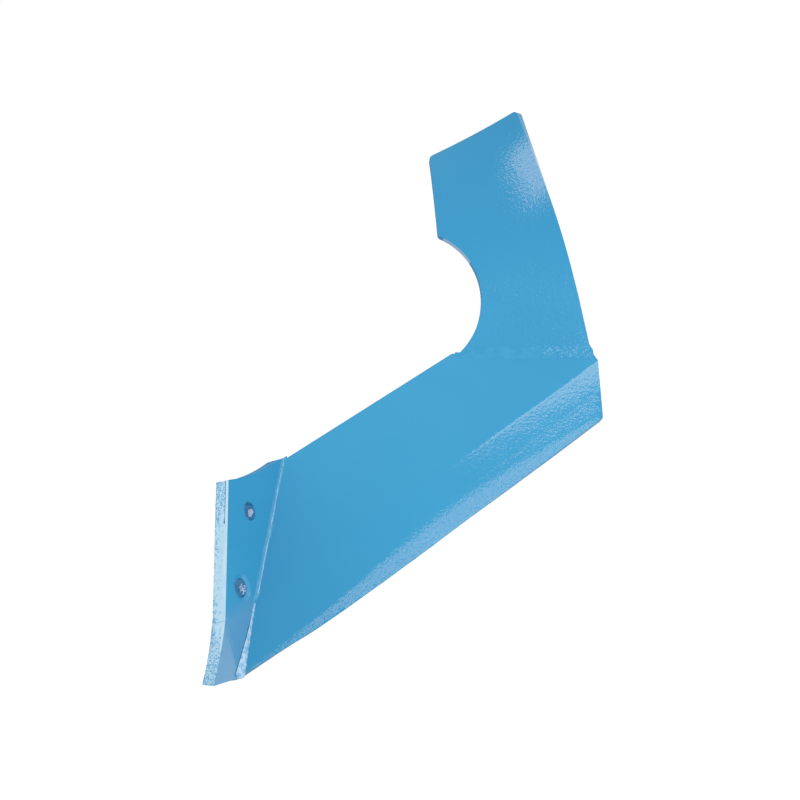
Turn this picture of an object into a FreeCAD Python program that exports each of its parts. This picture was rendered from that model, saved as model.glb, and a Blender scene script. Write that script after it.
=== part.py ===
import FreeCAD, Part
import math
import os

# Wing share for a cultivator tine: a bent plate with a bolted flange, a cutting strip and a guide plate.
# Millimetres. Origin: middle of the two bolt holes on the flange's back face.
# X leaves the flange's front face, Y runs rearward, Z is up, and the flange is upright.

Vector = FreeCAD.Vector

SIZES = [
    ("plate_thickness", 10.0),
    ("bolt_spacing", 55.0),
    ("bolt_slope", 33.2),
    ("bolt_hole", 13.0),
    ("countersink", 20.0),
    ("countersink_depth", 1.2),
    ("bolt_to_bend", 20.0),
    ("bolt_to_fold", 35.6),
    ("bend_slope", 24.5),
    ("bend_angle", 61.1),
    ("bend_radius", 4.0),
    ("bend_runout", 8.0),
    ("flange_foot_width", 37.0),
    ("flange_head_width", 76.0),
    ("flange_head_sag", 2.6),
    ("toe_curl_radius", 120.0),
    ("toe_reach", 25.3),
    ("toe_drop", 33.0),
    ("toe_bevel", 3.0),
    ("heel_reach", 31.0),
    ("heel_drop", 39.2),
    ("panel_inner_width", 82.4),
    ("panel_outer_width", 76.4),
    ("strip_inner_width", 33.8),
    ("strip_outer_width", 38.2),
    ("strip_bow", 2.4),
    ("strip_fold_angle", 12.0),
    ("fold_inner_radius", 45.0),
    ("fold_outer_radius", 14.0),
    ("blade_length", 332.4),
    ("seam_angle", 39.6),
    ("seam_heel", 8.2),
    ("nose_setback", 2.5),
    ("strip_setback", 35.5),
    ("guide_thickness", 8.0),
    ("guide_turn_angle", 30.0),
    ("guide_twist_angle", 40.0),
    ("guide_twist_start", 45.0),
    ("guide_height", 202.2),
    ("guide_top_fall", 24.0),
    ("guide_foot", 108.5),
    ("guide_waist", 87.2),
    ("guide_head", 54.2),
    ("guide_overhang", 11.5),
    ("guide_lip", 8.0),
    ("guide_corner_radius", 4.0),
    ("relief_radius", 61.0),
    ("relief_height", 44.2),
    ("relief_reach", 24.3),
    ("weld_radius", 6.5),
    ("weld_depth", 5.0),
    ("root_gap", 1.5),
    ("weld_run_on", 1.5),
    ("notch_bead_top", 1.2),
    ("notch_bead_foot", 4.0),
]

TWIST_POWER = 1.5

doc = FreeCAD.newDocument("wing_share")
sheet = doc.addObject("Spreadsheet::Sheet", "Sizes")
for row, (alias, value) in enumerate(SIZES, start=1):
    sheet.set("A%d" % row, alias.replace("_", " "))
    sheet.set("B%d" % row, str(value))
    sheet.setAlias("B%d" % row, alias)
doc.recompute()


def size(alias):
    return float(getattr(sheet, alias))


def turned(vector, axis, degrees):
    return FreeCAD.Rotation(axis, degrees).multVec(vector)


def unit(vector):
    return vector / vector.Length


def solid_of(shape):
    """The one solid in a shape, with its coplanar faces joined."""
    clean = shape.removeSplitter()
    if len(clean.Solids) != 1:
        raise ValueError("expected one solid, found %d" % len(clean.Solids))
    return clean.Solids[0]


def half_space(point, normal):
    """A very large box that lies on the positive side of a plane."""
    far = 2 * size("blade_length")
    box = Part.makeBox(2 * far, 2 * far, 2 * far, Vector(-far, -far, 0))
    turn = FreeCAD.Rotation(Vector(0, 0, 1), normal)
    box.Placement = FreeCAD.Placement(point, turn)
    return box


def prism(points, along, depth):
    """A closed polygon pushed both ways along a direction."""
    wire = Part.makePolygon(points + [points[0]])
    face = Part.Face(wire)
    face.translate(along * -depth)
    return face.extrude(along * (2 * depth))


# The frames of the plate's flat areas, worked out from the sheet.
# A blank runs over by the spare before it is trimmed, and neighbours lap by a little.
thick = size("plate_thickness")
spare = 3 * thick
lap = 0.05 * thick
front = Vector(1, 0, 0)
slope = math.radians(size("bend_slope"))
bend_dir = Vector(0, math.cos(slope), math.sin(slope))
bend_side = Vector(0, math.sin(slope), -math.cos(slope))
panel_normal = turned(front, bend_dir, -size("bend_angle"))
fold_dir = unit(panel_normal.cross(Vector(0, 0, 1)))
if fold_dir.y < 0:
    fold_dir = fold_dir * -1
panel_up = panel_normal.cross(fold_dir)
corner_angle = math.acos(fold_dir.dot(bend_dir))
cot_corner = 1 / math.tan(corner_angle)

# The fold carries on across the bend into the flange, straight in the flat blank.
flange_fold_dir = turned(bend_dir * -1, front, -math.degrees(corner_angle))
flange_up = front.cross(flange_fold_dir) * -1
if flange_up.z < 0:
    flange_up = flange_up * -1

# The fold's corner: where the bend line and the flange's fold line cross on the front face.
bolt_centre = Vector(thick, 0, 0)
bend_foot = bolt_centre + bend_side * size("bolt_to_bend")
gap = (bolt_centre - flange_up * size("bolt_to_fold") - bend_foot).dot(flange_up)
corner = bend_foot + bend_dir * (gap / bend_dir.dot(flange_up))

strip_turn = size("strip_fold_angle")
strip_down = panel_up * -math.cos(math.radians(strip_turn)) - panel_normal * math.sin(math.radians(strip_turn))
strip_normal = panel_normal * math.cos(math.radians(strip_turn)) - panel_up * math.sin(math.radians(strip_turn))
toe_chord = size("toe_drop") / (2 * size("toe_curl_radius"))
toe_normal = front * math.cos(toe_chord) - flange_up * math.sin(toe_chord)

notch_dir = unit(toe_normal.cross(strip_normal))
if notch_dir.z > 0:
    notch_dir = notch_dir * -1
notch_bisector = unit(toe_normal + strip_normal)
tangent = size("bend_radius") * math.tan(math.radians(size("bend_angle") / 2))


def folded_section(at, up, normal, radius, turn, top, bottom):
    """The outline of a plate with one convex fold, across the fold line."""
    angle = math.radians(turn)
    reach = radius * math.tan(angle / 2)

    def place(e, z):
        return at + up * e + normal * z

    def on_arc(r, part):
        return place(reach - r * math.sin(angle * part), r * math.cos(angle * part) - radius)

    inner = radius - thick
    low = Vector(-bottom * math.cos(angle), -bottom * math.sin(angle), 0)
    back = Vector(low.x + thick * math.sin(angle), low.y - thick * math.cos(angle), 0)
    edges = [
        Part.makeLine(place(top, 0), place(reach, 0)),
        Part.Arc(on_arc(radius, 0), on_arc(radius, 0.5), on_arc(radius, 1)).toShape(),
        Part.makeLine(on_arc(radius, 1), place(low.x, low.y)),
        Part.makeLine(place(low.x, low.y), place(back.x, back.y)),
        Part.makeLine(place(back.x, back.y), on_arc(inner, 1)),
        Part.Arc(on_arc(inner, 1), on_arc(inner, 0.5), on_arc(inner, 0)).toShape(),
        Part.makeLine(on_arc(inner, 0), place(top, -thick)),
        Part.makeLine(place(top, -thick), place(top, 0)),
    ]
    return Part.Wire(edges)


def along_blade(inner_alias, outer_alias, u):
    """A size that changes evenly from the blade's inner end to its outer end."""
    inner = size(inner_alias)
    outer = size(outer_alias)
    return inner + (outer - inner) * u / size("blade_length")


def blade_section(u):
    return folded_section(
        corner + fold_dir * u, panel_up, panel_normal,
        along_blade("fold_inner_radius", "fold_outer_radius", u), strip_turn,
        along_blade("panel_inner_width", "panel_outer_width", u),
        along_blade("strip_inner_width", "strip_outer_width", u) + spare)


def panel_point(u, e):
    return corner + fold_dir * u + panel_up * e


def flange_point(f, e):
    return corner + flange_fold_dir * f + flange_up * e


# Seam of the guide plate: a slanted cut across the outer end of the panel.
seam_angle = math.radians(size("seam_angle"))
seam_run = size("blade_length")
seam_drop = size("seam_heel")
top_taper = (size("panel_outer_width") - size("panel_inner_width")) / size("blade_length")
seam_rise = (size("panel_inner_width") + top_taper * seam_run - seam_drop) / (math.tan(seam_angle) + top_taper)
seam_top_u = seam_run - seam_rise
seam_top_e = seam_drop + seam_rise * math.tan(seam_angle)
seam_start = panel_point(seam_top_u, seam_top_e)
seam_end = panel_point(seam_run, seam_drop)
seam_dir = unit(seam_end - seam_start)


def behind_notch():
    """What lies behind the bend's rounded back, where the closed notch's sharp back is chamfered."""
    bend_axis = corner - bend_side * tangent + front * size("bend_radius")
    apex = bend_axis - notch_bisector * (size("bend_radius") + thick)
    return half_space(apex, notch_bisector * -1)


def cutting_edge_point(u):
    """A point on the bowed cutting edge, on the strip's face."""
    part = u / size("blade_length")
    bow = 4 * size("strip_bow") * part * (1 - part)
    return panel_point(u, 0) + strip_down * (along_blade("strip_inner_width", "strip_outer_width", u) + bow)


def edge_trim():
    """What lies beyond the cutting edge."""
    run = size("blade_length")
    inner, middle, outer = [cutting_edge_point(run * part) for part in (-0.25, 0.5, 1.25)]
    away = strip_down * (3 * spare)
    arc = Part.Arc(inner, middle, outer).toShape()
    rest = Part.makePolygon([outer, outer + away, inner + away, inner])
    face = Part.Face(Part.Wire([arc] + rest.Edges))
    face.translate(strip_normal * -spare)
    return face.extrude(strip_normal * (2 * spare))


def blade_solid():
    """Panel and cutting strip, trimmed at the bend and at the outer end."""
    blade = Part.makeLoft([blade_section(-3 * spare), blade_section(seam_run + spare)], True, True)
    into_panel = panel_normal.cross(bend_dir)
    if into_panel.dot(fold_dir) < 0:
        into_panel = into_panel * -1
    above = half_space(corner, panel_up)
    below = half_space(corner, panel_up * -1)
    bend_cut = half_space(corner + into_panel * tangent, into_panel * -1).common(above)
    mitre = notch_dir.cross(notch_bisector)
    if mitre.dot(fold_dir) > 0:
        mitre = mitre * -1
    notch_cut = half_space(corner, mitre).common(below)
    blade = blade.cut(bend_cut).cut(notch_cut).cut(behind_notch().common(below))
    turn = math.radians(strip_turn)
    nose_u = seam_run - size("nose_setback")
    low_u = seam_run - size("strip_setback")
    low_e = -size("strip_outer_width") * math.cos(turn)
    beyond = 1.6
    end_cut = [
        panel_point(seam_run - seam_rise * 1.8, seam_drop + seam_rise * 1.8 * math.tan(seam_angle)),
        panel_point(seam_run, seam_drop),
        panel_point(nose_u, 0),
        panel_point(nose_u + (low_u - nose_u) * beyond, low_e * beyond),
        panel_point(seam_run + 6 * spare, low_e * beyond),
        panel_point(seam_run + 6 * spare, seam_drop + seam_rise * 1.8 * math.tan(seam_angle)),
    ]
    blade = blade.cut(prism(end_cut, panel_normal, 2 * spare)).cut(edge_trim())
    toe = flange_point(size("flange_foot_width") + size("toe_reach"), -size("toe_drop"))
    heel = flange_point(size("heel_reach"), -size("heel_drop"))
    lower_side = unit((toe - heel).cross(front))
    if lower_side.z > 0:
        lower_side = lower_side * -1
    return blade.cut(half_space(heel, lower_side))


def flange_outline(top, bend_shift):
    """The flange's outline as a solid, the toe's front edge bevelled toward its tip."""
    foot_width = size("flange_foot_width")
    slant = (size("flange_head_width") - bend_shift - foot_width) / top
    toe = foot_width + size("toe_reach")
    heel = size("heel_reach")
    fall = (size("heel_drop") - size("toe_drop")) / (toe - heel)
    tail = -2 * spare
    bevel = size("toe_bevel") / thick
    head = foot_width + slant * top
    beyond = -bend_shift - spare
    rise = -bend_shift + 2 * tangent / math.sin(corner_angle)
    sagging = Part.Arc(
        flange_point(head, top),
        flange_point((head + rise) / 2, top - size("flange_head_sag")),
        flange_point(rise, top))
    rest = Part.makePolygon([
        flange_point(rise, top), flange_point(beyond, top), flange_point(beyond, -lap),
        flange_point(foot_width, -lap), flange_point(head, top)])
    upper = Part.Face(Part.Wire([sagging.toShape()] + rest.Edges))
    upper.translate(front * -spare)
    upper = upper.extrude(front * (2 * spare))
    layers = []
    for depth in (-spare, spare + thick):
        rear = depth * bevel
        points = [
            flange_point(tail, lap),
            flange_point(foot_width, lap),
            flange_point(foot_width, 0),
            flange_point(toe - rear, -size("toe_drop") + 0.4 * rear),
            flange_point(tail, -size("heel_drop") - fall * (heel - tail)),
            flange_point(tail, lap),
        ]
        layer = Part.makePolygon(points)
        layer.translate(front * -depth)
        layers.append(layer)
    lower = Part.makeLoft(layers, True, True)
    return upper.fuse(lower)


def curled_section(at, radius, top, reach):
    """The outline of a flat plate whose foot curls back below the fold line."""
    def on_curl(r, part):
        angle = reach / radius * part
        return at + flange_up * (-r * math.sin(angle)) + front * (r * math.cos(angle) - radius)

    inner = radius - thick
    edges = [
        Part.makeLine(at + flange_up * top, at),
        Part.Arc(at, on_curl(radius, 0.5), on_curl(radius, 1)).toShape(),
        Part.makeLine(on_curl(radius, 1), on_curl(inner, 1)),
        Part.Arc(on_curl(inner, 1), on_curl(inner, 0.5), on_curl(inner, 0)).toShape(),
        Part.makeLine(on_curl(inner, 0), on_curl(inner, 0) + flange_up * top),
        Part.makeLine(on_curl(inner, 0) + flange_up * top, at + flange_up * top),
    ]
    return Part.Wire(edges)


def flange_solid():
    """Bolted flange with a toe that curls back below the lower bolt, trimmed to its outline."""
    top = size("panel_inner_width")
    bend_shift = top * cot_corner
    section = curled_section(
        corner - flange_fold_dir * (bend_shift + spare), size("toe_curl_radius"), top, size("heel_drop") + spare)
    face = Part.Face(section)
    flange = face.extrude(flange_fold_dir * (bend_shift + 2 * size("flange_head_width")))
    flange = flange.common(flange_outline(top, bend_shift))
    over = half_space(corner, flange_up)
    under = half_space(corner, flange_up * -1)
    bend_cut = half_space(corner - bend_side * tangent, bend_side).common(over)
    mitre = notch_dir.cross(notch_bisector)
    if mitre.dot(fold_dir) < 0:
        mitre = mitre * -1
    notch_cut = half_space(corner, mitre).common(under)
    return flange.cut(bend_cut).cut(notch_cut).cut(behind_notch().common(under))


def bend_solid():
    """The rounded bend between flange and panel, its ends slanted like the blank's edges."""
    steps = 8
    shift = tangent * cot_corner
    top = size("panel_inner_width") / math.sin(corner_angle)
    radius = size("bend_radius")
    sections = []
    for step in range(steps + 1):
        part = step / steps
        spoke = turned(front * -1, bend_dir, -size("bend_angle") * part)
        axis = corner - bend_side * tangent + front * radius
        low = bend_dir * (shift * (2 * part - 1) - size("bend_runout"))
        high = bend_dir * (shift * (2 * part - 1) + top)
        near = axis + spoke * radius
        rear = axis + spoke * (radius + thick)
        sections.append(Part.makePolygon([near + low, near + high, rear + high, rear + low, near + low]))
    proud = half_space(corner, toe_normal).common(half_space(corner, strip_normal))
    return Part.makeLoft(sections, True, False).cut(proud)


def add_tool(kind, name, base, rotation, bindings):
    """A cutting tool of the document, its sizes bound to the sheet."""
    tool = doc.addObject(kind, name)
    tool.Placement = FreeCAD.Placement(base, rotation)
    for prop, expression in bindings:
        tool.setExpression(prop, expression)
    return tool


# Wing blade: the bent plate with two bolt holes, the lower one countersunk.
wing_blank = doc.addObject("Part::Feature", "WingBlank")
wing_blank.Shape = solid_of(flange_solid().fuse([bend_solid(), blade_solid()]))

across = FreeCAD.Rotation(Vector(0, 1, 0), 90)
cos_text = "cos(Sizes.bolt_slope * 1 deg)"
sin_text = "sin(Sizes.bolt_slope * 1 deg)"
hole_sizes = [("Radius", "Sizes.bolt_hole / 2"), ("Height", "5 * Sizes.plate_thickness")]
upper_hole = add_tool("Part::Cylinder", "UpperHole", Vector(-2 * thick, 0, 0), across, hole_sizes + [
    (".Placement.Base.y", "Sizes.bolt_spacing / 2 * " + cos_text),
    (".Placement.Base.z", "Sizes.bolt_spacing / 2 * " + sin_text)])
lower_hole = add_tool("Part::Cylinder", "LowerHole", Vector(-2 * thick, 0, 0), across, hole_sizes + [
    (".Placement.Base.y", "-Sizes.bolt_spacing / 2 * " + cos_text),
    (".Placement.Base.z", "-Sizes.bolt_spacing / 2 * " + sin_text)])
countersink = add_tool("Part::Cone", "Countersink", Vector(0, 0, 0), across, [
    ("Radius1", "Sizes.bolt_hole / 2"),
    ("Radius2", "Sizes.countersink / 2"),
    ("Height", "Sizes.countersink_depth"),
    (".Placement.Base.x", "Sizes.plate_thickness - Sizes.countersink_depth"),
    (".Placement.Base.y", "-Sizes.bolt_spacing / 2 * " + cos_text),
    (".Placement.Base.z", "-Sizes.bolt_spacing / 2 * " + sin_text)])
hole_tools = doc.addObject("Part::MultiFuse", "HoleTools")
hole_tools.Shapes = [upper_hole, lower_hole, countersink]
wing = doc.addObject("Part::Cut", "WingBlade")
wing.Base = wing_blank
wing.Tool = hole_tools
wing.Label = "wing_blade"

# Guide plate: cut flat with a round relief, then twisted above its foot.
guide_normal = turned(panel_normal, seam_dir, size("guide_turn_angle"))
guide_up = guide_normal.cross(seam_dir)
guide_thick = size("guide_thickness")
twist_centre = size("guide_foot") - (size("guide_foot") - size("relief_reach")) / 2


def outer_edge(y):
    """Distance of the bowed outer edge from the seam's start, at a height on the plate."""
    height = size("guide_height")
    foot, waist, head = size("guide_foot"), size("guide_waist"), size("guide_head")
    part = y / height
    bow = 4 * waist - 2 * foot - 2 * head
    return foot + (head - foot) * part + bow * part * (1 - part)


def twist_at(y):
    start = size("guide_twist_start")
    part = max(y - start, 0.0) / (size("guide_height") - start)
    return size("guide_twist_angle") * part ** TWIST_POWER


def guide_section(y):
    level = seam_start + seam_dir * twist_centre + guide_up * y
    wide = turned(seam_dir, guide_up, -twist_at(y))
    deep = turned(guide_normal, guide_up, -twist_at(y)) * -guide_thick
    inner = level + wide * -size("guide_foot")
    outer = level + wide * (outer_edge(y) - twist_centre)
    return Part.makePolygon([inner, outer, outer + deep, inner + deep, inner])


def guide_point(x, y):
    return seam_start + seam_dir * x + guide_up * y


def guide_outline():
    """The flat outline before its corners are rounded: round relief, inner edge, slanted top."""
    radius = size("relief_radius")
    relief_x = size("relief_reach") - radius
    relief_y = size("relief_height")
    side = -size("guide_overhang")
    high = size("guide_height") - size("guide_top_fall")
    lip_x = -size("guide_lip")
    lip_y = relief_y + math.sqrt(radius ** 2 - (lip_x - relief_x) ** 2)
    tall = size("guide_height")
    top_twist = math.radians(twist_at(tall))
    head_x = twist_centre + (size("guide_head") - twist_centre) * math.cos(top_twist)
    lean = (tall - high) / (head_x - side)
    beyond = radius
    low = -radius / 3

    def on_relief(angle):
        return guide_point(relief_x + radius * math.cos(angle), relief_y + radius * math.sin(angle))

    lip_angle = math.atan2(lip_y - relief_y, lip_x - relief_x)
    foot_angle = -math.asin(min((relief_y - low) / radius, 0.99))
    foot = on_relief(foot_angle)
    relief = Part.Arc(foot, on_relief((foot_angle + lip_angle) / 2), on_relief(lip_angle)).toShape()
    straight = [
        on_relief(lip_angle),
        guide_point(side, high),
        guide_point(head_x + beyond, tall + lean * beyond),
        guide_point(size("guide_foot") + beyond, low),
        foot,
    ]
    sides = [Part.makeLine(straight[i], straight[i + 1]) for i in range(len(straight) - 1)]
    corners = [guide_point(lip_x, lip_y), guide_point(side, high), guide_point(head_x, tall)]
    return Part.Face(Part.Wire([relief] + sides)), corners


def rounded_corners(plate, corners):
    """The plate with its short upright corner edges rounded."""
    chosen = []
    for edge in plate.Edges:
        middle = edge.valueAt((edge.FirstParameter + edge.LastParameter) / 2)
        for point in corners:
            across_plate = (middle - point) - guide_normal * (middle - point).dot(guide_normal)
            if edge.Length < 2 * guide_thick and across_plate.Length < 1.5 * size("guide_corner_radius"):
                chosen.append(edge)
    return plate.makeFillet(size("guide_corner_radius"), chosen)


def guide_solid():
    start = size("guide_twist_start")
    lower = Part.makeLoft([guide_section(size("root_gap")), guide_section(start)], True, True)
    count = 9
    reach = size("guide_height") + guide_thick - start
    levels = [start + reach * (step / count) for step in range(count + 1)]
    upper = Part.makeLoft([guide_section(y) for y in levels], True, False)
    blank = lower.fuse(upper)
    outline, corners = guide_outline()
    deep = size("guide_foot")
    outline.translate(guide_normal * -deep)
    plate = solid_of(blank.common(outline.extrude(guide_normal * (2 * deep))))
    return rounded_corners(plate, corners)


guide = doc.addObject("Part::Feature", "GuidePlate")
guide.Shape = solid_of(guide_solid())
guide.Label = "guide_plate"

# Seam weld: a full bead through the groove between blade and guide plate.
weld_middle = unit(panel_normal + guide_normal)
groove_start = size("relief_reach") - size("relief_radius") + math.sqrt(
    size("relief_radius") ** 2 - size("relief_height") ** 2) - 2 * size("weld_run_on")
along_seam = FreeCAD.Rotation(Vector(0, 0, 1), seam_dir)
seam_rod = add_tool(
    "Part::Cylinder", "SeamRod",
    seam_start + seam_dir * groove_start - weld_middle * size("weld_depth"), along_seam,
    [("Radius", "Sizes.weld_radius")])
seam_rod.Height = size("guide_foot") + size("weld_run_on") - groove_start
welded = doc.addObject("Part::MultiFuse", "WeldedPlates")
welded.Shapes = [wing, guide]
seam_weld = doc.addObject("Part::Cut", "SeamWeld")
seam_weld.Base = seam_rod
seam_weld.Tool = welded
seam_weld.Label = "seam_weld"

# Notch weld: a tapered bead down the closed notch between flange and cutting strip.
notch_length = size("heel_drop") / abs(notch_dir.dot(flange_up)) - size("notch_bead_foot")
notch_top = corner + (notch_dir + notch_bisector * 0.4) * size("notch_bead_top")
notch_rod = Part.makeCone(size("notch_bead_top"), size("notch_bead_foot"), notch_length, notch_top, notch_dir)
notch_bead = notch_rod.cut(wing_blank.Shape)
notch_weld = doc.addObject("Part::Feature", "NotchWeld")
notch_weld.Shape = max(notch_bead.Solids, key=lambda piece: piece.Volume)
notch_weld.Label = "notch_weld"

doc.recompute()

for item in doc.Objects:
    if "Invalid" in item.State or "Error" in item.State:
        raise ValueError("not computed: " + item.Label)

os.makedirs("parts", exist_ok=True)
for item in (wing, guide, seam_weld, notch_weld):
    shape = item.Shape
    if shape.isNull() or not shape.isValid():
        raise ValueError("bad shape: " + item.Label)
    print(item.Label, len(shape.Solids), round(shape.Volume, 1), shape.BoundBox)
    shape.exportStep("parts/" + item.Label + ".step")
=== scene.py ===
import math

import bmesh
import bpy
from mathutils import Matrix, Vector, noise
from mathutils.bvhtree import BVHTree


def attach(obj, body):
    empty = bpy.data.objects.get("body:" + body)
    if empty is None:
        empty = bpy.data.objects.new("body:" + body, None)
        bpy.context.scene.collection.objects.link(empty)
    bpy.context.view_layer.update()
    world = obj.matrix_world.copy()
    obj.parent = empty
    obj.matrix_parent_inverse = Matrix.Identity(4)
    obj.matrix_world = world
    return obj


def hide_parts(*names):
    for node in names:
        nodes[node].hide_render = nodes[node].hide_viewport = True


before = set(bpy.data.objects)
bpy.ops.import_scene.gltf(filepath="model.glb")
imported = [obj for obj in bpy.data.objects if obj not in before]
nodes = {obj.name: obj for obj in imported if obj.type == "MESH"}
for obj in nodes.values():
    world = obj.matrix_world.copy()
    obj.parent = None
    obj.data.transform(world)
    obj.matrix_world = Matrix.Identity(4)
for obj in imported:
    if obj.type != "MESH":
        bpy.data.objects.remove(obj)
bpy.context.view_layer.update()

MM = 0.001

# Driving sizes of the share, in millimetres and degrees, as in its solids.
THICK = 10.0
BOLT_SPACING, BOLT_SLOPE, BOLT_HOLE = 55.0, 33.2, 13.0
BEND_SLOPE, BEND_ANGLE = 24.5, 61.1
BOLT_TO_BEND, BOLT_TO_FOLD = 20.0, 35.6
TOE_DROP, TOE_RADIUS = 33.0, 120.0
LEFT_EDGE_SLOPE = 40.9
STRIP_FOLD = 12.0
STRIP_INNER, STRIP_OUTER, STRIP_BOW = 33.8, 38.2, 2.4
PANEL_INNER, PANEL_OUTER = 82.4, 76.4
BLADE_LENGTH = 332.4
SEAM_SLOPE, SEAM_HEEL = 39.6, 8.2
GUIDE_TURN, GUIDE_FOOT = 30.0, 108.5
RELIEF_RADIUS, RELIEF_HEIGHT, RELIEF_REACH = 61.0, 44.2, 24.3
WELD_RUN_ON = 1.5
HEEL_DROP, NOTCH_FOOT = 39.2, 4.0


# Directions and places of the flat areas, worked out from the sizes.
def turned(vector, axis, degrees):
    return Matrix.Rotation(math.radians(degrees), 3, axis) @ vector


def along_slope(degrees):
    angle = math.radians(degrees)
    return Vector((0, math.cos(angle), math.sin(angle)))


FRONT = Vector((1, 0, 0))
FLANGE_FACE = FRONT * THICK
BOLT_DIR = along_slope(BOLT_SLOPE)
LEFT_EDGE_DIR = along_slope(LEFT_EDGE_SLOPE)
LEFT_EDGE_OUT = FRONT.cross(LEFT_EDGE_DIR)
BEND_DIR = along_slope(BEND_SLOPE)
BEND_SIDE = BEND_DIR.cross(FRONT)
PANEL_NORMAL = turned(FRONT, BEND_DIR, -BEND_ANGLE)
FOLD_DIR = PANEL_NORMAL.cross(Vector((0, 0, -1))).normalized()
PANEL_UP = PANEL_NORMAL.cross(FOLD_DIR)
CORNER_ANGLE = math.acos(FOLD_DIR.dot(BEND_DIR))
FLANGE_FOLD_DIR = turned(-BEND_DIR, FRONT, -math.degrees(CORNER_ANGLE))
FLANGE_UP = FLANGE_FOLD_DIR.cross(FRONT)
BEND_FOOT = FLANGE_FACE + BEND_SIDE * BOLT_TO_BEND
CORNER_RISE = (FLANGE_FACE - FLANGE_UP * BOLT_TO_FOLD - BEND_FOOT).dot(FLANGE_UP)
CORNER = BEND_FOOT + BEND_DIR * (CORNER_RISE / BEND_DIR.dot(FLANGE_UP))
STRIP_TURN = math.radians(STRIP_FOLD)
STRIP_NORMAL = PANEL_NORMAL * math.cos(STRIP_TURN) - PANEL_UP * math.sin(STRIP_TURN)
STRIP_DOWN = -PANEL_UP * math.cos(STRIP_TURN) - PANEL_NORMAL * math.sin(STRIP_TURN)
TOE_CHORD = TOE_DROP / (2 * TOE_RADIUS)
TOE_NORMAL = FRONT * math.cos(TOE_CHORD) - FLANGE_UP * math.sin(TOE_CHORD)
NOTCH_DIR = STRIP_NORMAL.cross(TOE_NORMAL).normalized()
if NOTCH_DIR.z > 0:
    NOTCH_DIR = -NOTCH_DIR
TOP_TAPER = (PANEL_OUTER - PANEL_INNER) / BLADE_LENGTH
SEAM_GRADE = math.tan(math.radians(SEAM_SLOPE))
SEAM_RUN = (PANEL_OUTER - SEAM_HEEL) / (SEAM_GRADE + TOP_TAPER)


def panel_point(along, up):
    """A point of the panel's face, along the fold and up from it."""
    return CORNER + FOLD_DIR * along + PANEL_UP * up


SEAM_START = panel_point(BLADE_LENGTH - SEAM_RUN, SEAM_HEEL + SEAM_RUN * SEAM_GRADE)
SEAM_END = panel_point(BLADE_LENGTH, SEAM_HEEL)
SEAM_DIR = (SEAM_END - SEAM_START).normalized()
GUIDE_NORMAL = turned(PANEL_NORMAL, SEAM_DIR, GUIDE_TURN)
SEAM_MIDDLE = (PANEL_NORMAL + GUIDE_NORMAL).normalized()


# Enamel: gloss light blue, its colour a little uneven, its skin slightly rippled.
PAINT_IOR = 1.5
MOTTLE_DETAIL, RIPPLE_DETAIL = 4.0, 2.0


def noise_value(tree, scale, detail):
    place = tree.nodes.new("ShaderNodeTexCoord")
    texture = tree.nodes.new("ShaderNodeTexNoise")
    texture.inputs["Scale"].default_value = scale
    texture.inputs["Detail"].default_value = detail
    tree.links.new(place.outputs["Object"], texture.inputs["Vector"])
    return texture.outputs["Fac"]


def painted_light_fade(tree, painted, direction, low, high, shade_and_sheen):
    """Paints shade or sheen on the paint: it turns to another colour along a direction, between two distances
    in millimetres.
    """
    place = tree.nodes.new("ShaderNodeTexCoord")
    along = tree.nodes.new("ShaderNodeVectorMath")
    along.operation = "DOT_PRODUCT"
    along.inputs[1].default_value = direction
    tree.links.new(place.outputs["Object"], along.inputs[0])
    part = tree.nodes.new("ShaderNodeMapRange")
    part.interpolation_type = "SMOOTHSTEP"
    part.inputs["From Min"].default_value = low * MM
    part.inputs["From Max"].default_value = high * MM
    tree.links.new(along.outputs["Value"], part.inputs["Value"])
    mix = tree.nodes.new("ShaderNodeMix")
    mix.data_type = "RGBA"
    mix.inputs["B"].default_value = (*shade_and_sheen, 1)
    tree.links.new(part.outputs["Result"], mix.inputs["Factor"])
    tree.links.new(painted, mix.inputs["A"])
    return mix.outputs["Result"]


def enamel(name, base, pale, gloss, mottle, ripples, shine=0.5, painted_light=None):
    """base and pale are linear colours; mottle is (scale, from, to); ripples are (scale, height in mm) pairs.

    gloss is the roughness, shine the specular level, and painted_light is (direction, from, to, colour), in
    mm, a painted shade or sheen along a direction.
    """
    material = bpy.data.materials.new(name)
    material.use_nodes = True
    tree = material.node_tree
    tree.nodes.clear()
    out = tree.nodes.new("ShaderNodeOutputMaterial")
    shader = tree.nodes.new("ShaderNodeBsdfPrincipled")
    shader.inputs["Roughness"].default_value = gloss
    shader.inputs["IOR"].default_value = PAINT_IOR
    shader.inputs["Specular IOR Level"].default_value = shine
    tree.links.new(shader.outputs["BSDF"], out.inputs["Surface"])

    scale, low, high = mottle
    spread = tree.nodes.new("ShaderNodeMapRange")
    spread.inputs["From Min"].default_value = low
    spread.inputs["From Max"].default_value = high
    tree.links.new(noise_value(tree, scale, MOTTLE_DETAIL), spread.inputs["Value"])
    colour = tree.nodes.new("ShaderNodeMix")
    colour.data_type = "RGBA"
    colour.inputs["A"].default_value = (*base, 1)
    colour.inputs["B"].default_value = (*pale, 1)
    tree.links.new(spread.outputs["Result"], colour.inputs["Factor"])
    painted = colour.outputs["Result"]
    # Painted shade or sheen laid over the paint's colour.
    if painted_light:
        painted = painted_light_fade(tree, painted, *painted_light)
    tree.links.new(painted, shader.inputs["Base Color"])

    last = None
    for scale, height in ripples:
        bump = tree.nodes.new("ShaderNodeBump")
        bump.inputs["Strength"].default_value = 1.0
        bump.inputs["Distance"].default_value = height * MM
        tree.links.new(noise_value(tree, scale, RIPPLE_DETAIL), bump.inputs["Height"])
        if last:
            tree.links.new(last.outputs["Normal"], bump.inputs["Normal"])
        last = bump
    tree.links.new(last.outputs["Normal"], shader.inputs["Normal"])
    return material


# Ripples of the paint's skin.
SWELL, GRIT = (60.0, 0.06), (900.0, 0.14)
PEEL, ROUGH_PEEL, COARSE_PEEL = (430.0, 0.058), (480.0, 0.13), (430.0, 0.20)
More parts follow.
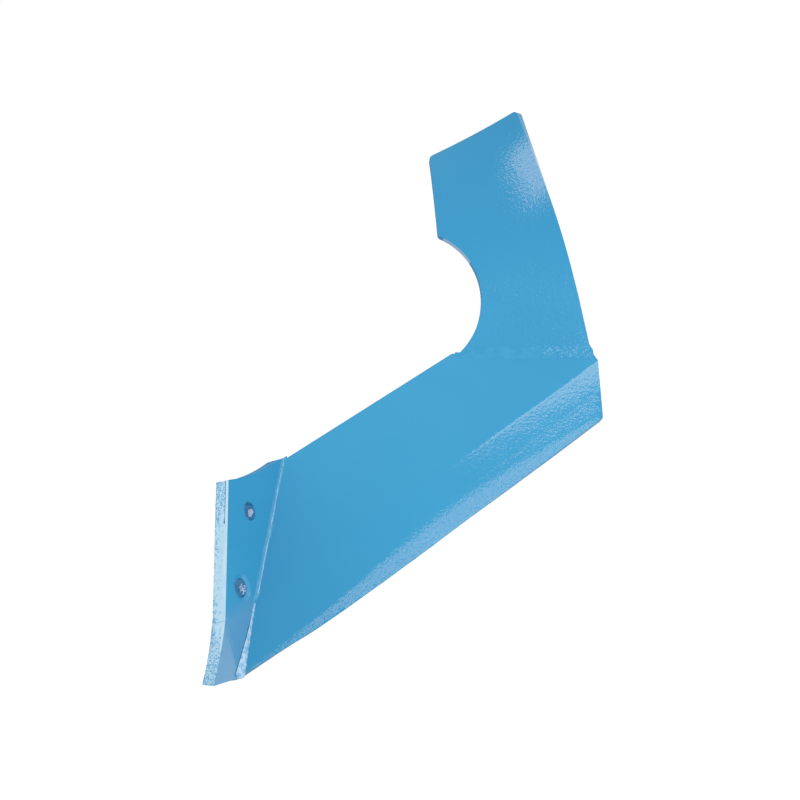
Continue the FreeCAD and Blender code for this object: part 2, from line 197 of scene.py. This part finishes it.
# Colours of the paint, and how uneven it is, with the colours of its painted shade, painted sheen and painted
# light.
BLUE, BLUE_PALE = (0.029, 0.325, 0.600), (0.037, 0.345, 0.625)
BLUE_BEND_SHADE, BLUE_TOE_SHEEN = (0.020, 0.280, 0.535), (0.095, 0.335, 0.600)
BLUE_HEAD_SHADE, CUT_LIT_PALE = (0.024, 0.300, 0.575), (0.46, 0.74, 0.93)
BLUE_MOTTLE = (14.0, 0.35, 0.75)
# Painted shade darkens the paint toward the bend and toward the guide plate's head, and a painted sheen makes
# it paler on the curled toe.
FROM_BEND, FROM_FOLD = FOLD_DIR.dot(CORNER), FLANGE_UP.dot(CORNER)
BEND_SHADE_FROM, BEND_SHADE_TO = 150.0, 5.0
TOE_SHEEN_FROM, TOE_SHEEN_TO = 12.0, 5.0
HEAD_SHADE_FROM, HEAD_SHADE_TO = 15.0, 100.0
BEND_SHADE = (-FOLD_DIR, -FROM_BEND - BEND_SHADE_FROM, -FROM_BEND - BEND_SHADE_TO, BLUE_BEND_SHADE)
TOE_SHEEN = (-FLANGE_UP, -FROM_FOLD - TOE_SHEEN_FROM, -FROM_FOLD + TOE_SHEEN_TO, BLUE_TOE_SHEEN)
HEAD_SHADE = (Vector((0, 0, 1)), HEAD_SHADE_FROM, HEAD_SHADE_TO, BLUE_HEAD_SHADE)
enamel_face = enamel("enamel_face", BLUE, BLUE_PALE, 0.075, BLUE_MOTTLE, [SWELL, PEEL], painted_light=BEND_SHADE)
enamel_guide = enamel(
    "enamel_guide", BLUE, BLUE_PALE, 0.15, BLUE_MOTTLE, [SWELL, COARSE_PEEL], painted_light=HEAD_SHADE)
enamel_flange = enamel(
    "enamel_flange", (0.034, 0.325, 0.600), (0.040, 0.340, 0.620), 0.10, BLUE_MOTTLE, [SWELL, PEEL],
    painted_light=TOE_SHEEN)
# The bend's paint is paler than the faces' for a painted highlight along the bend line; its higher specular
# level is its own shine.
enamel_bend_highlight = enamel(
    "enamel_bend_highlight", (0.04, 0.33, 0.60), (0.08, 0.39, 0.67), 0.08, (200.0, 0.45, 0.7), [PEEL], 0.8)
enamel_roll = enamel("enamel_roll", BLUE, BLUE_PALE, 0.09, BLUE_MOTTLE, [SWELL, ROUGH_PEEL], painted_light=BEND_SHADE)
# The cut faces are painted much paler than the faces, painted light for the light the cut edge catches; their
# fine mottle is the cut's rough grain.
enamel_lit_cut = enamel(
    "enamel_lit_cut_edge", (0.09, 0.38, 0.68), CUT_LIT_PALE, 0.35, (850.0, 0.40, 0.58), [GRIT])
enamel_lit_cut_smooth = enamel(
    "enamel_lit_cut_smooth", (0.33, 0.63, 0.88), CUT_LIT_PALE, 0.3, (500.0, 0.3, 0.5), [GRIT])
# The rim's pale colour is a painted highlight along the rounded front edge of the cut.
enamel_rim_highlight = enamel(
    "enamel_rim_highlight", (0.47, 0.75, 0.94), (0.54, 0.79, 0.95), 0.15, (90.0, 0.4, 0.6), [PEEL])
# The long side's pale colour is painted light, for the light that side catches.
enamel_lit_side = enamel(
    "enamel_lit_side", (0.24, 0.49, 0.80), (0.32, 0.56, 0.87), 0.3, (120.0, 0.4, 0.6), [PEEL])
enamel_under = enamel(
    "enamel_under", (0.05, 0.28, 0.52), (0.19, 0.33, 0.50), 0.6, (45.0, 0.4, 0.6), [GRIT], 0.2)
# The walls' darker colour is painted shade; their roughness is their own.
enamel_shaded_wall = enamel(
    "enamel_shaded_wall", (0.03, 0.28, 0.55), (0.04, 0.30, 0.57), 0.6, (60.0, 0.4, 0.6), [PEEL], 0.2)
# The notch weld's pale colour is painted light, for the light the bead catches.
enamel_lit_weld = enamel(
    "enamel_lit_weld", (0.18, 0.46, 0.74), (0.48, 0.70, 0.90), 0.3, (420.0, 0.4, 0.6), [GRIT])
enamel_fillet = enamel(
    "enamel_fillet", BLUE, (0.05, 0.37, 0.63), 0.09, (120.0, 0.45, 0.75), [PEEL])
# The bore walls' darker colour is painted shade inside the holes.
enamel_shaded_bore = enamel(
    "enamel_shaded_bore", (0.02, 0.26, 0.52), (0.06, 0.32, 0.58), 0.2, (330.0, 0.42, 0.58), [GRIT])
# Pale patches of painted glint on the bore walls.
enamel_glint = enamel(
    "enamel_glint", (0.60, 0.76, 0.98), (0.80, 0.88, 0.99), 0.12, (500.0, 0.4, 0.6), [PEEL])
# A dark colour of painted shade, for the crevice beside the notch weld and the groove at the top of the
# flange's left edge.
enamel_crevice_shade = enamel(
    "enamel_crevice_shade", (0.015, 0.16, 0.32), (0.02, 0.22, 0.42), 0.6, (300.0, 0.4, 0.6), [GRIT], 0.2)


# Pieces made from the solids: a copy is eased and shaped in mesh code.
SAME_SPOT, ON_PLANE = 2e-6, 1e-7
SAME_PLANE = math.radians(0.2)
EDGE_EASE, EASE_STEPS, SHARP_ANGLE = 0.5, 3, math.radians(28)


def opened_copy(node):
    """The solid's mesh, with its flat faces joined."""
    work = bmesh.new()
    work.from_mesh(nodes[node].data)
    bmesh.ops.remove_doubles(work, verts=work.verts, dist=SAME_SPOT)
    bmesh.ops.dissolve_limit(work, angle_limit=SAME_PLANE, verts=work.verts, edges=work.edges)
    for face in work.faces:
        face.material_index = 0
    return work


def eased(work):
    """Rounds the sharp edges a little and returns the new faces."""
    sharp = [
        edge for edge in work.edges
        if len(edge.link_faces) == 2 and edge.calc_face_angle() > SHARP_ANGLE]
    made = bmesh.ops.bevel(
        work, geom=sharp, offset=EDGE_EASE * MM, offset_type="OFFSET", segments=EASE_STEPS, profile=0.5,
        affect="EDGES", clamp_overlap=True, material=-1)
    return made["faces"]


def cut_into_rows(work, wanted, origin, direction, offsets):
    """Cuts the wanted faces by parallel planes, so that they can be shaped."""
    for offset in offsets:
        faces = [face for face in work.faces if wanted(face)]
        edges = list({edge for face in faces for edge in face.edges})
        verts = list({vert for face in faces for vert in face.verts})
        place = (origin + direction * offset) * MM
        bmesh.ops.bisect_plane(
            work, geom=faces + edges + verts, dist=ON_PLANE, plane_co=place, plane_no=direction)


def steps(first, last, pitch):
    return [first + pitch * count for count in range(int((last - first) / pitch) + 1)]


def ramp(value, low, high):
    """A smooth rise from 0 at low to 1 at high."""
    part = min(max((value - low) / (high - low), 0), 1)
    return part * part * (3 - 2 * part)


def finished(work, name, node, materials):
    mesh = bpy.data.meshes.new(name)
    work.to_mesh(mesh)
    work.free()
    for material in materials:
        mesh.materials.append(material)
    mesh.shade_smooth()
    piece = bpy.data.objects.new(name, mesh)
    bpy.context.scene.collection.objects.link(piece)
    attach(piece, "root")
    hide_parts(node)
    return piece


AREA_WEIGHT = 80


def flat_shaded_faces(piece):
    """Large flat faces keep their own normals beside the eased edges."""
    weigh = piece.modifiers.new("weigh", "WEIGHTED_NORMAL")
    weigh.weight = AREA_WEIGHT
    weigh.keep_sharp = True


# Wing blade. Its faces are told apart by where they look, with cosines as the limits.
FACE, FLANGE, BEND, ROLL, CUT, CUT_SMOOTH, GROOVE_SHADE, RIM, BORE, GLINT, UNDER, WALL = range(12)
BEND_MIDDLE = (FRONT + PANEL_NORMAL).normalized()
BORE_MARGIN = 0.6
wing = opened_copy("wing_blade")


def looks_forward(face):
    return face.normal.x > 0.7


def on_left_edge(face):
    return face.normal.dot(LEFT_EDGE_OUT) > 0.8 and abs(face.normal.x) < 0.4


def under_cutting_edge(face):
    return face.normal.z < -0.45 and face.normal.x > 0.3


def on_flange_front(face):
    return face.normal.x > 0.92


def on_flange_top(face):
    return -0.7 < face.normal.x < 0.3 and face.normal.dot(FLANGE_UP) > 0.6 and not on_left_edge(face)


def on_bend(face):
    bent = max(face.normal.dot(FRONT), face.normal.dot(PANEL_NORMAL)) < 0.985
    return bent and face.normal.dot(BEND_MIDDLE) > 0.85 and abs(face.normal.dot(BEND_DIR)) < 0.06


def in_bore(face):
    centre = face.calc_center_median() / MM
    centre.x = 0
    near = min((centre - BOLT_DIR * (side * BOLT_SPACING / 2)).length for side in (-1, 1))
    return near < BOLT_HOLE / 2 + BORE_MARGIN and abs(face.normal.x) < 0.3


def between(edge, first, second):
    if len(edge.link_faces) != 2:
        return False
    a, b = edge.link_faces
    return (first(a) and second(b)) or (first(b) and second(a))


left_front = {
    vert for edge in wing.edges if between(edge, on_left_edge, looks_forward) for vert in edge.verts}
front_line = sorted((vert.co.dot(LEFT_EDGE_DIR) / MM, vert.co.x / MM) for vert in left_front)
for face in wing.faces:
    for found, finish in (
            (on_left_edge, CUT), (in_bore, BORE), (under_cutting_edge, UNDER),
            (on_flange_top, WALL), (on_flange_front, FLANGE), (on_bend, BEND)):
        if found(face):
            face.material_index = finish
for face in eased(wing):
    if under_cutting_edge(face):
        face.material_index = UNDER

# The cutting edge: the strip rolls back a little towards it, widest near its middle.
ROLL_SLOPE = math.tan(math.radians(5.5))
ROLL_LEAST, ROLL_MORE, ROLL_SHIFT, ROLL_SHARPNESS = 2.5, 15.5, 0.95, 1.9
ROLL_DEPTH = 4.0
# Near the bend its front stands lower, and along the rest its back stands higher.
EDGE_DROP, DROP_FROM, DROP_FULL, DROP_FADES, DROP_ENDS = 3.3, -40.0, 25.0, 20.0, 230.0
BACK_LIFT, LIFT_FROM, LIFT_FULL = 1.0, 90.0, 170.0
# How far past the edge and the ends a point may lie, and how wide the two bands beside the edge are.
PAST_EDGE, PAST_END, PAST_BACK = 2.0, 3.0, 0.5
EDGE_BAND, FACE_BAND = 0.8, 1.2


def strip_place(point):
    """Along the fold, down the strip and in from its face."""
    away = point / MM - CORNER
    return away.dot(FOLD_DIR), away.dot(STRIP_DOWN), -away.dot(STRIP_NORMAL)


def blade_part(u):
    return min(max(u / BLADE_LENGTH, 0), 1)


def strip_width(u):
    part = blade_part(u)
    return STRIP_INNER + (STRIP_OUTER - STRIP_INNER) * part + 4 * STRIP_BOW * part * (1 - part)


def roll_width(u):
    return ROLL_LEAST + ROLL_MORE * math.sin(math.pi * blade_part(u) ** ROLL_SHIFT) ** ROLL_SHARPNESS


def edge_drop(u):
    return EDGE_DROP * ramp(u, DROP_FROM, DROP_FULL) * (1 - ramp(u, DROP_FADES, DROP_ENDS))


def on_strip(face):
    return face.normal.dot(STRIP_NORMAL) > 0.995


def on_roll(face):
    u, down, inward = strip_place(face.calc_center_median())
    return on_strip(face) and strip_width(u) - down < ROLL_LEAST + ROLL_MORE


cut_into_rows(wing, on_strip, CORNER, STRIP_DOWN, steps(16.0, 41.5, 1.5))
cut_into_rows(wing, on_roll, CORNER, FOLD_DIR, steps(6.0, BLADE_LENGTH, 6.0))
for face in wing.faces:
    if on_roll(face):
        face.material_index = ROLL
for vert in wing.verts:
    u, down, inward = strip_place(vert.co)
    width = roll_width(u)
    left = strip_width(u) - down
    if left <= -PAST_EDGE or not -PAST_END < u < BLADE_LENGTH + PAST_END:
        continue
    if left < width and inward < ROLL_DEPTH:
        rest = max(left, 0)
        drop = ROLL_SLOPE * ((width - rest) - (width ** 4 - rest ** 4) / (4 * width ** 3))
        vert.co -= STRIP_NORMAL * (drop * max(1 - inward / ROLL_DEPTH, 0) * MM)
    if left < EDGE_BAND and inward < FACE_BAND:
        vert.co += (STRIP_DOWN - STRIP_NORMAL * ROLL_SLOPE) * (edge_drop(u) * MM)
    if left < EDGE_BAND and THICK - FACE_BAND < inward < THICK + PAST_BACK:
        vert.co -= STRIP_DOWN * (BACK_LIFT * ramp(u, LIFT_FROM, LIFT_FULL) * MM)

# The flange's left edge, left rough by the cut, most of all near its two ends and its back.
ROUGH_DEPTH, ROUGH_FULL = 1.2, 8.0
ROUGH_TOP, ROUGH_FOOT = 34.0, 40.0
RIM_WIDTH, RIM_STARTS = 1.9, 22.0
GROOVE_SHADE_WIDTH, GROOVE_SHADE_REACH = 0.6, 30.0
SMOOTH_BELOW = 0.35


def on_rough_edge(face):
    return face.material_index == CUT


def depth_behind_front(along, x):
    """How far a point of the left edge lies behind the flange's front, also where the toe curls."""
    before = max((spot for spot in front_line if spot[0] <= along), default=front_line[0])
    after = min((spot for spot in front_line if spot[0] > along), default=front_line[-1])
    reach = after[0] - before[0]
    part = (along - before[0]) / reach if reach > 0 else 0
    return before[1] + (after[1] - before[1]) * part - x


edge_places = [
    vert.co.dot(LEFT_EDGE_DIR) / MM for face in wing.faces if on_rough_edge(face) for vert in face.verts]
edge_low, edge_high = min(edge_places), max(edge_places)
cut_into_rows(wing, on_rough_edge, Vector(), LEFT_EDGE_DIR, steps(edge_low + 1.0, edge_high - 1.0, 1.1))
cut_into_rows(wing, on_rough_edge, Vector(), FRONT, steps(-6.0, 9.8, 0.45))


def cut_marks(along, across):
    """Height of the cut face's grooves, about -0.5 to 0.5."""
    drag = noise.noise(Vector((along * 0.9, across * 0.12, 3.1)))
    grain = noise.noise(Vector((along * 0.5, across * 0.5, 8.7)))
    wander = noise.noise(Vector((along * 0.08, 0.4, 1.9)))
    return 0.3 * drag + 0.3 * grain + 0.25 * wander


def near_ends(along):
    """0 in the middle of the left edge, 1 at its two ends."""
    return max(1 - (edge_high - along) / ROUGH_TOP, 1 - (along - edge_low) / ROUGH_FOOT, 0)


for vert in {vert for face in wing.faces if on_rough_edge(face) for vert in face.verts}:
    along = vert.co.dot(LEFT_EDGE_DIR) / MM
    toward_back = ramp(depth_behind_front(along, vert.co.x / MM), RIM_WIDTH, ROUGH_FULL)
    amount = ROUGH_DEPTH * (0.7 + 0.6 * near_ends(along)) * (0.1 + 0.9 * toward_back)
    vert.co += LEFT_EDGE_OUT * (amount * cut_marks(along, vert.co.x / MM) * MM)

# A smooth rim beside the front, painted pale as a painted highlight; next to it at the top, a fine groove
# that is only painted dark, as painted shade; and a smoother middle.
for face in [face for face in wing.faces if on_rough_edge(face)]:
    centre = face.calc_center_median() / MM
    along = centre.dot(LEFT_EDGE_DIR)
    depth = depth_behind_front(along, centre.x)
    uneven = near_ends(along) + 0.4 * ramp(depth, 4.0, 9.0) + 0.6 * noise.noise(centre * 0.5)
    if depth < RIM_WIDTH and along > edge_low + RIM_STARTS:
        face.material_index = RIM
    elif depth < RIM_WIDTH + GROOVE_SHADE_WIDTH and edge_high - along < GROOVE_SHADE_REACH:
        face.material_index = GROOVE_SHADE
    elif uneven < SMOOTH_BELOW:
        face.material_index = CUT_SMOOTH

# Painted glints on the bolt holes' walls, pale patches standing for light reflected there: one blot in the
# upper, specks in the lower.
GLINT_DROP, GLINT_DEPTH, GLINT_SIZE = 3.4, 6.2, 2.1
BLOT, SPECKS = (0.7, 0.0), (3.0, 0.6)
cut_into_rows(wing, in_bore, Vector(), FRONT, steps(3.0, 8.8, 0.5))
cut_into_rows(wing, in_bore, Vector(), Vector((0, 0, 1)), steps(-22.0, 22.0, 0.7))
for face in wing.faces:
    if face.material_index == BORE:
        centre = face.calc_center_median() / MM
        side = 1 if centre.dot(BOLT_DIR) > 0 else -1
        uneven, less = BLOT if side > 0 else SPECKS
        above = centre.z - side * BOLT_SPACING / 2 * BOLT_DIR.z
        patch = noise.noise(centre * 0.8) * uneven + less
        if math.hypot(above + GLINT_DROP, centre.x - GLINT_DEPTH) + patch < GLINT_SIZE:
            face.material_index = GLINT
wing_piece = finished(
    wing, "wing_blade_painted", "wing_blade",
    [enamel_face, enamel_flange, enamel_bend_highlight, enamel_roll, enamel_lit_cut, enamel_lit_cut_smooth,
     enamel_crevice_shade, enamel_rim_highlight, enamel_shaded_bore, enamel_glint, enamel_under, enamel_shaded_wall])
flat_shaded_faces(wing_piece)

# Guide plate. The flat walls of its edge are duller than its faces; the walls of its long right side are
# painted paler, painted light for the light they catch, and its other walls darker, painted shade.
SIDE_OUT = Vector((0.88, 0.28, -0.38)).normalized()
PLATE_REACH = 14.0
guide = opened_copy("guide_plate")


def is_wall(face):
    """A face of the plate's edge lies between two near faces that look opposite ways."""
    around = [other for edge in face.edges for other in edge.link_faces]
    beside = [other for other in around if other.normal.dot(face.normal) < 0.5]
    return any(
        a.normal.dot(b.normal) < -0.9
        and abs((a.calc_center_median() - b.calc_center_median()).dot(a.normal)) < PLATE_REACH * MM
        for a in beside for b in beside)


for face in guide.faces:
    if is_wall(face):
        face.material_index = 1 if face.normal.dot(SIDE_OUT) > 0.4 else 2
eased(guide)
guide_piece = finished(guide, "guide_plate_painted", "guide_plate", [enamel_guide, enamel_lit_side, enamel_shaded_wall])
flat_shaded_faces(guide_piece)


# Weld beads: rings of points along a line, closed at both ends.
def bead(name, node, start, direction, out, length, outline, rings, materials, shade_band=()):
    """outline(part) gives a ring's points as (across, outward) pairs in millimetres.

    shade_band holds the columns that are dark, a painted shade.
    """
    across = direction.cross(out).normalized()
    work = bmesh.new()
    loops = []
    for ring in range(rings + 1):
        part = ring / rings
        spot = start + direction * (part * length)
        loops.append([work.verts.new((spot + across * x + out * y) * MM) for x, y in outline(part)])
    around = len(loops[0])
    for ring in range(rings):
        for step in range(around):
            after = (step + 1) % around
            face = work.faces.new(
                (loops[ring][step], loops[ring][after], loops[ring + 1][after], loops[ring + 1][step]))
            face.material_index = 1 if step in shade_band else 0
    work.faces.new(list(reversed(loops[0])))
    work.faces.new(loops[-1])
    bmesh.ops.recalc_face_normals(work, faces=work.faces)
    finished(work, name, node, materials)


# Seam weld: a low hollow fillet between the plates, its skin wrinkled near the heel.
RELIEF_HALF = math.sqrt(RELIEF_RADIUS ** 2 - RELIEF_HEIGHT ** 2)
GROOVE_START = RELIEF_REACH - RELIEF_RADIUS + RELIEF_HALF - 2 * WELD_RUN_ON
SEAM_LENGTH = GUIDE_FOOT + WELD_RUN_ON - GROOVE_START
HALF_TURN = math.radians(GUIDE_TURN / 2)
FILLET_LEG, FILLET_OVERLAP = 5.5, 1.0
FILLET_RADIUS = FILLET_LEG / math.tan(HALF_TURN)
FILLET_CENTRE = FILLET_RADIUS / math.cos(HALF_TURN)
RELIEF_MARGIN, LEAST_REACH = 0.4, 0.9
END_TAPER, START_TAPER = 3.0, 4.0
WRINKLES_FROM, WRINKLES_FULL = 0.52, 0.66
SEAM_ROOT, ROOT_SHARE = -3.0, 0.6
SEAM_RINGS, SEAM_COLUMNS = 170, 36


def ridges(along, across, scale, seed):
    """Thin wavy ridges, from 0 to 1."""
    value = noise.noise(Vector((along * scale * 0.45, across * scale, seed)))
    return max(1 - abs(value) * 6, 0) ** 1.5


def seam_outline(part):
    along = part * SEAM_LENGTH
    size = 0.4 + 0.6 * ramp(SEAM_LENGTH - along, 0, END_TAPER)
    on_guide = GROOVE_START + along + RELIEF_RADIUS - RELIEF_REACH
    relief = RELIEF_HEIGHT - math.sqrt(max(RELIEF_RADIUS ** 2 - on_guide ** 2, 0))
    full_reach = (FILLET_LEG + FILLET_OVERLAP) * size
    guide_reach = min(max(relief - RELIEF_MARGIN, LEAST_REACH), full_reach)
    blade_reach = full_reach * (0.3 + 0.7 * ramp(along, 0, START_TAPER))
    lively = ramp(part, WRINKLES_FROM, WRINKLES_FULL)
    points = []
    for column in range(SEAM_COLUMNS + 1):
        share = 2 * column / SEAM_COLUMNS - 1
        x = share * (blade_reach if share > 0 else guide_reach)
        plates = abs(x) * math.tan(HALF_TURN)
        bare = FILLET_CENTRE - math.sqrt(FILLET_RADIUS ** 2 - x * x)
        top = plates + max(bare - plates, 0) - 0.25 * ramp(abs(share), 0.75, 1)
        inside = 1 - ramp(abs(share), 0.5, 0.95)
        wrinkle = ridges(along, x, 0.35, 2.3) * 0.34 + ridges(along, x, 0.7, 5.9) * 0.18
        lump = noise.noise(Vector((along * 0.2, x * 0.4, 9.1))) * 0.25
        points.append((x, top + inside * (0.05 + 0.95 * lively) * (wrinkle + lump)))
    points.append((blade_reach * ROOT_SHARE, SEAM_ROOT))
    points.append((-guide_reach * ROOT_SHARE, SEAM_ROOT))
    return points


bead(
    "seam_weld_bead", "seam_weld", SEAM_START + SEAM_DIR * GROOVE_START, SEAM_DIR, SEAM_MIDDLE,
    SEAM_LENGTH, seam_outline, SEAM_RINGS, [enamel_fillet])

# Notch weld: a rough bead that widens toward the foot, painted pale as painted light, with a dark strip on
# the toe beside it, the painted shade of the crevice between bead and toe.
NOTCH_OUT = (TOE_NORMAL + STRIP_NORMAL).normalized()
NOTCH_OUT = (NOTCH_OUT - NOTCH_DIR * NOTCH_OUT.dot(NOTCH_DIR)).normalized()
NOTCH_ACROSS = NOTCH_DIR.cross(NOTCH_OUT).normalized()
NOTCH_LENGTH = HEEL_DROP / abs(NOTCH_DIR.dot(FLANGE_UP)) - NOTCH_FOOT
NOTCH_LEAD, NOTCH_TAIL = 1.0, 2.0
NOTCH_START = CORNER - NOTCH_DIR * NOTCH_LEAD
NOTCH_RUN = NOTCH_LENGTH + NOTCH_LEAD + NOTCH_TAIL
NOTCH_SLOPE = math.tan(TOE_NORMAL.angle(STRIP_NORMAL) / 2)
NOTCH_HALF, NOTCH_WIDENS = 0.5, 2.8
NOTCH_SINK, NOTCH_ROOT = 0.4, -1.5
SHADE_GAP, SHADE_WIDTH, SHADE_PROUD = 0.15, 1.0, 0.15
SHADE_FROM, SHADE_FULL = 0.1, 0.4
NOTCH_RINGS, NOTCH_COLUMNS = 110, 18
SEEK = 12.0
wing_skin = BVHTree.FromPolygons(
    [vert.co.copy() for vert in nodes["wing_blade"].data.vertices],
    [tuple(face.vertices) for face in nodes["wing_blade"].data.polygons])


def skin_height(along, x, otherwise):
    """How far the blade's skin stands out beside the notch line, in millimetres."""
    spot = NOTCH_START + NOTCH_DIR * along + NOTCH_ACROSS * x
    found = wing_skin.ray_cast((spot + NOTCH_OUT * SEEK) * MM, -NOTCH_OUT)
    return SEEK - found[3] / MM if found[0] else otherwise


def notch_lump(along, share, half):
    broad = noise.noise(Vector((along * 0.3, share * 1.2, 7.7)))
    fine = noise.noise(Vector((along * 0.9, share * half * 0.9, 4.2)))
    return broad * 0.5 + 0.5 * fine


def notch_outline(part):
    along = part * NOTCH_RUN
    half = (NOTCH_HALF + NOTCH_WIDENS * part) * (0.6 + 0.4 * ramp(NOTCH_RUN - along, 0, NOTCH_TAIL))
    swell = TOE_DROP ** 2 / (2 * TOE_RADIUS) * part * (1 - part)
    points = [(-half - 0.3, NOTCH_SLOPE * half - NOTCH_SINK)]
    for column in range(NOTCH_COLUMNS + 1):
        share = 2 * column / NOTCH_COLUMNS - 1
        lump = notch_lump(along, share, half)
        x = half * share * (1 + 0.25 * lump)
        crown = (1 - share * share) * (0.18 * half + lump * (0.2 + 0.5 * part))
        points.append((x, NOTCH_SLOPE * half + swell * (1 + share) / 2 + crown))
    shade_band = SHADE_WIDTH * ramp(part, SHADE_FROM, SHADE_FULL)
    for x in (half + SHADE_GAP, half + SHADE_GAP + shade_band):
        points.append((x, skin_height(along, x, NOTCH_SLOPE * x + swell) + SHADE_PROUD))
    points.append((half + SHADE_GAP + shade_band + 0.1, NOTCH_SLOPE * half - NOTCH_SINK))
    points.append((half * ROOT_SHARE, NOTCH_ROOT))
    points.append((-half * ROOT_SHARE, NOTCH_ROOT))
    return points


bead(
    "notch_weld_bead", "notch_weld", NOTCH_START, NOTCH_DIR, NOTCH_OUT,
    NOTCH_RUN, notch_outline, NOTCH_RINGS, [enamel_lit_weld, enamel_crevice_shade], {NOTCH_COLUMNS + 2})


# Floor, background and light. Camera, glossy and transmission rays see white.
WORLD_LIGHT, BACKDROP = 0.70, 1.0
FLOOR_COLOUR, FLOOR_GLOW = (0.82, 0.82, 0.82, 1), 0.44
FLOOR_HALF, FLOOR_LEVEL = 6.0, -0.6


def linked_maximum(tree, first, second):
    node = tree.nodes.new("ShaderNodeMath")
    node.operation = "MAXIMUM"
    tree.links.new(first, node.inputs[0])
    tree.links.new(second, node.inputs[1])
    return node.outputs[0]


def floor_material():
    material = bpy.data.materials.new("pale_floor")
    material.use_nodes = True
    tree = material.node_tree
    tree.nodes.clear()
    out = tree.nodes.new("ShaderNodeOutputMaterial")
    diffuse = tree.nodes.new("ShaderNodeBsdfDiffuse")
    diffuse.inputs["Color"].default_value = FLOOR_COLOUR
    glow = tree.nodes.new("ShaderNodeEmission")
    glow.inputs["Color"].default_value = (1, 1, 1, 1)
    glow.inputs["Strength"].default_value = FLOOR_GLOW
    both = tree.nodes.new("ShaderNodeAddShader")
    tree.links.new(diffuse.outputs[0], both.inputs[0])
    tree.links.new(glow.outputs[0], both.inputs[1])
    path = tree.nodes.new("ShaderNodeLightPath")
    seen = linked_maximum(tree, path.outputs["Is Camera Ray"], path.outputs["Is Glossy Ray"])
    seen = linked_maximum(tree, seen, path.outputs["Is Transmission Ray"])
    choose = tree.nodes.new("ShaderNodeMixShader")
    tree.links.new(seen, choose.inputs[0])
    tree.links.new(diffuse.outputs[0], choose.inputs[1])
    tree.links.new(both.outputs[0], choose.inputs[2])
    tree.links.new(choose.outputs[0], out.inputs["Surface"])
    return material


floor_mesh = bpy.data.meshes.new("floor")
floor_mesh.from_pydata(
    [(x * FLOOR_HALF, y * FLOOR_HALF, FLOOR_LEVEL) for x, y in ((-1, -1), (1, -1), (1, 1), (-1, 1))],
    [], [(0, 1, 2, 3)])
floor_mesh.materials.append(floor_material())
floor = bpy.data.objects.new("floor", floor_mesh)
bpy.context.scene.collection.objects.link(floor)

world = bpy.data.worlds.new("studio")
bpy.context.scene.world = world
world.use_nodes = True
tree = world.node_tree
tree.nodes.clear()
world_out = tree.nodes.new("ShaderNodeOutputWorld")
backgrounds = []
for strength in (WORLD_LIGHT, BACKDROP):
    background = tree.nodes.new("ShaderNodeBackground")
    background.inputs["Color"].default_value = (1, 1, 1, 1)
    background.inputs["Strength"].default_value = strength
    backgrounds.append(background)
path = tree.nodes.new("ShaderNodeLightPath")
choose = tree.nodes.new("ShaderNodeMixShader")
tree.links.new(path.outputs["Is Camera Ray"], choose.inputs[0])
tree.links.new(backgrounds[0].outputs[0], choose.inputs[1])
tree.links.new(backgrounds[1].outputs[0], choose.inputs[2])
tree.links.new(choose.outputs[0], world_out.inputs["Surface"])

# Lamps: soft boxes at one distance from the part's middle, three of them a little warm.
MIDDLE = Vector((0.11, 0.13, 0.02))
LIGHT_REACH = 1.5
WARM, NEUTRAL = (1.0, 0.76, 0.67), (1, 1, 1)


def placed(right, up, back, spot):
    """The matrix of something that looks against back."""
    return Matrix((
        (right.x, up.x, back.x, spot.x),
        (right.y, up.y, back.y, spot.y),
        (right.z, up.z, back.z, spot.z),
        (0, 0, 0, 1)))


def softbox(name, toward, along, radiance, width, height, tint=WARM):
    """A lamp seen from the object at a direction, its width lying along another; sizes are in radians."""
    light = bpy.data.lights.new(name, "AREA")
    light.shape = "RECTANGLE"
    light.size = width * LIGHT_REACH
    light.size_y = height * LIGHT_REACH
    light.energy = radiance * math.pi * light.size * light.size_y
    light.color = tint
    lamp = bpy.data.objects.new(name, light)
    bpy.context.scene.collection.objects.link(lamp)
    toward = Vector(toward).normalized()
    along = Vector(along)
    along = (along - toward * along.dot(toward)).normalized()
    lamp.matrix_world = placed(along, toward.cross(along), toward, MIDDLE + toward * LIGHT_REACH)


# It lights the right part of the strip and the bend line.
softbox(
    "lamp_strip", toward=(0.7186, 0.2504, 0.6539), along=(0.3636, 0.7444, -0.5598),
    radiance=4.3, width=0.37, height=0.135)
# It lights the rolled cutting edge.
softbox(
    "lamp_edge", toward=(0.797, -0.117, 0.592), along=(0.148, 0.406, -0.116),
    radiance=3.4, width=0.52, height=0.11)
# It lights the upper right of the guide plate.
softbox(
    "lamp_guide", toward=(-0.005, -0.440, 0.911), along=(0.787, -0.617, -0.19),
    radiance=5.0, width=0.58, height=0.24)
# The key light lies outside every large face's reflection.
softbox(
    "lamp_key", toward=(0.85, -0.45, 0.20), along=(0, 0, 1),
    radiance=3.2, width=0.5, height=0.5, tint=NEUTRAL)

# Camera, at the photograph's angle.
CAMERA_PLACE = Vector((0.44776, -0.59971, 0.30683))
CAMERA_BACK, CAMERA_RIGHT = Vector((0.4116, -0.8495, 0.3300)), Vector((0.8811, 0.2784, -0.3823))
SENSOR_WIDTH, LENS, NEAR_LIMIT = 36.0, 54.0, 0.01
camera_data = bpy.data.cameras.new("camera")
camera_data.sensor_fit = "HORIZONTAL"
camera_data.sensor_width = SENSOR_WIDTH
camera_data.lens = LENS
camera_data.clip_start = NEAR_LIMIT
camera = bpy.data.objects.new("camera", camera_data)
bpy.context.scene.collection.objects.link(camera)
back = CAMERA_BACK.normalized()
right = (CAMERA_RIGHT - back * CAMERA_RIGHT.dot(back)).normalized()
camera.matrix_world = placed(right, back.cross(right), back, CAMERA_PLACE)
bpy.context.scene.camera = camera

bpy.context.scene.view_settings.view_transform = "Standard"
